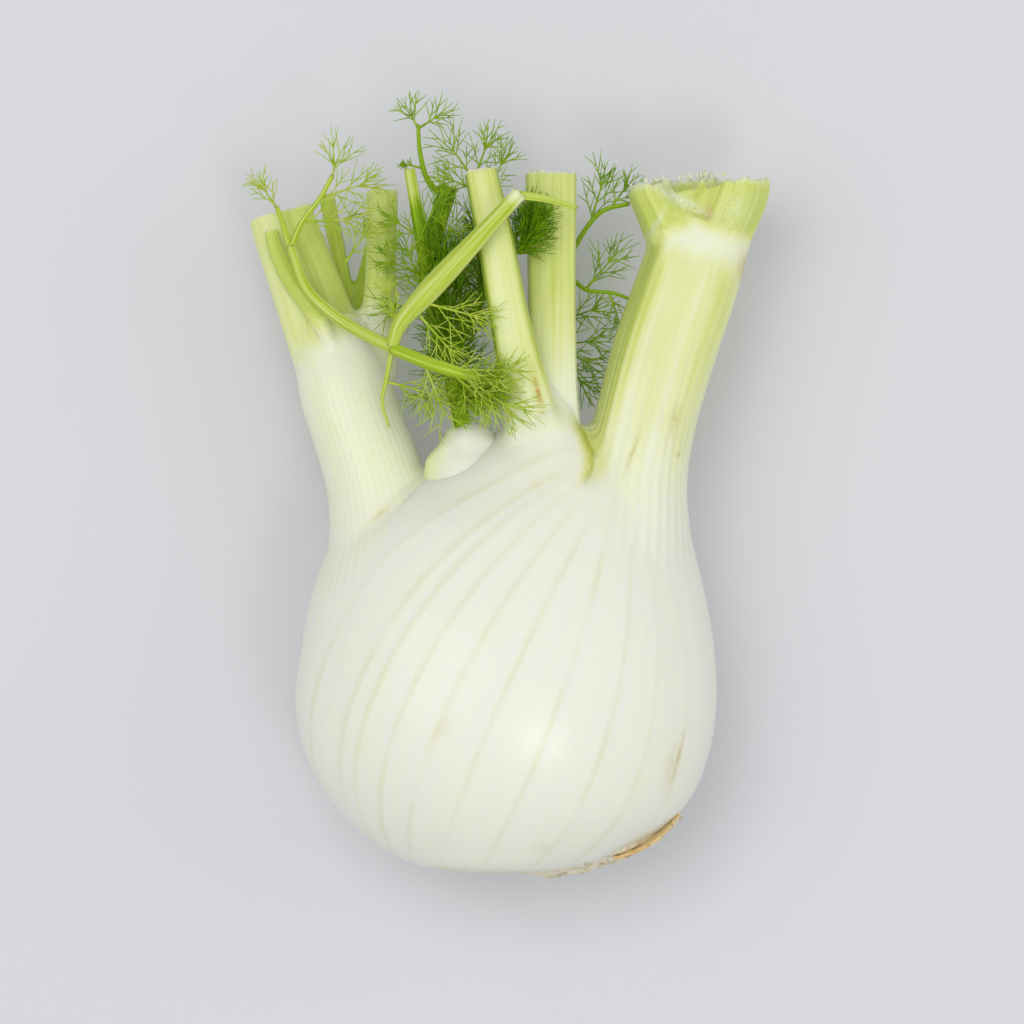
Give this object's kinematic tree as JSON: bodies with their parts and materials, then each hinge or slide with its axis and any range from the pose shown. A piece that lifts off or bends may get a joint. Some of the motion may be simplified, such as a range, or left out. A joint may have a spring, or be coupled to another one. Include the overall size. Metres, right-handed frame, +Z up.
{
  "type": "fennel bulb",
  "caption": "Fennel bulb lying on its side, with swollen ribbed leaf bases, cut stalks, feathery fronds and a trimmed root end.",
  "frame": {"origin": "middle of the flat spot under the belly that the bulb rests on", "axes": "+Z up, +Y from the root plate to the stalks, +X towards the stout stalk"},
  "size_m": [0.1307, 0.1976, 0.0776],
  "materials": {
    "outer_leaf": "waxy white leaf base with pale green ribs, turning yellow-green up the stalk",
    "left_leaf": "waxy white leaf base turning green up the stalk",
    "middle_leaf": "satin yellow-green ridged stalk with a pale foot",
    "heart_leaf": "satin white leaf base",
    "root_plate": "dry cream cork with brown spots",
    "dry_scale": "dry tan papery scale",
    "light_frond": "satin fresh green",
    "dark_frond": "satin dark green"
  },
  "bodies": {
    "root": {"outer_leaf": "outer_leaf", "left_leaf": "left_leaf", "narrow_leaf": "middle_leaf", "broad_leaf": "middle_leaf", "heart_leaf": "heart_leaf", "root_plate": "root_plate", "dry_scale": "dry_scale", "front_frond": "light_frond", "heart_frond": "dark_frond", "right_frond": "dark_frond"}
  },
  "joints": []
}
